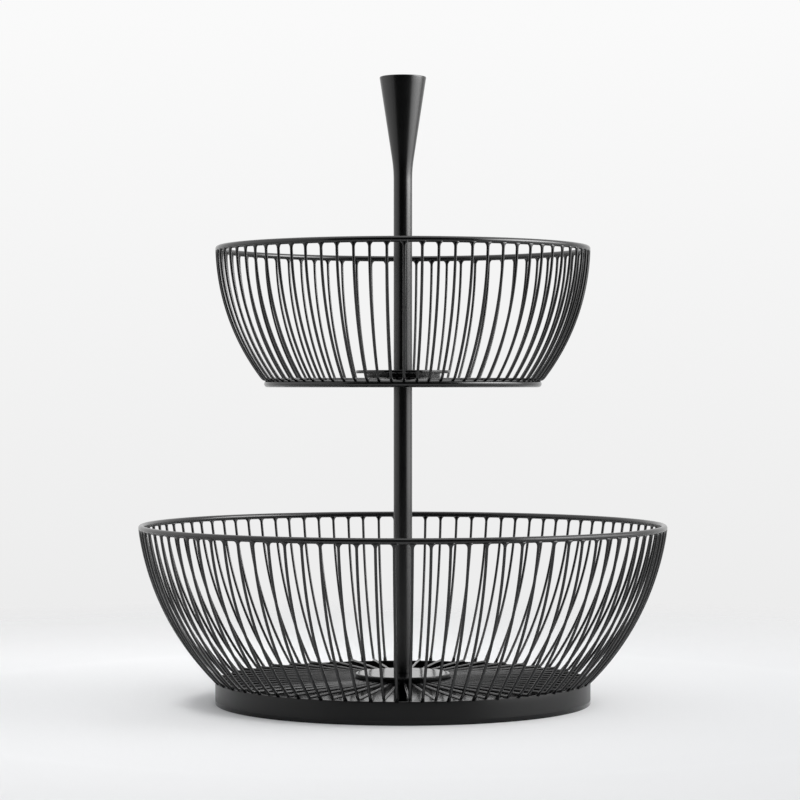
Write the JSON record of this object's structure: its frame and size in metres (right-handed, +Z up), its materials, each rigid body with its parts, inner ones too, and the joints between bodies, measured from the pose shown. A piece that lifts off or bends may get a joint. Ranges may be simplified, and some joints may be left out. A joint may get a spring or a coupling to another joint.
{
  "type": "tiered wire basket",
  "caption": "Tiered round wire basket: a small basket above a wide one on a flat base pan, on a centre post whose top flares into a cone-shaped handle",
  "frame": {"origin": "on the centre post's axis, at the height of the surface the base pan stands on", "axes": "+Z up along the post, which is the axis of both baskets; -Y is the side seen in the picture; +X to its right"},
  "size_m": [0.35, 0.35, 0.4153],
  "materials": {
    "black_coated_steel": "satin",
    "zinc_plated_steel": "satin"
  },
  "bodies": {
    "root": {"base_pan": "black_coated_steel", "lower_floor_wires": "black_coated_steel", "lower_side_wires": "black_coated_steel", "lower_rim": "black_coated_steel", "hub_plates": "black_coated_steel", "lower_post": "black_coated_steel", "upper_ring": "black_coated_steel", "upper_floor_wires": "black_coated_steel", "upper_side_wires": "black_coated_steel", "upper_rim": "black_coated_steel", "handle_post": "black_coated_steel", "tie_bolt": "zinc_plated_steel"}
  },
  "joints": []
}
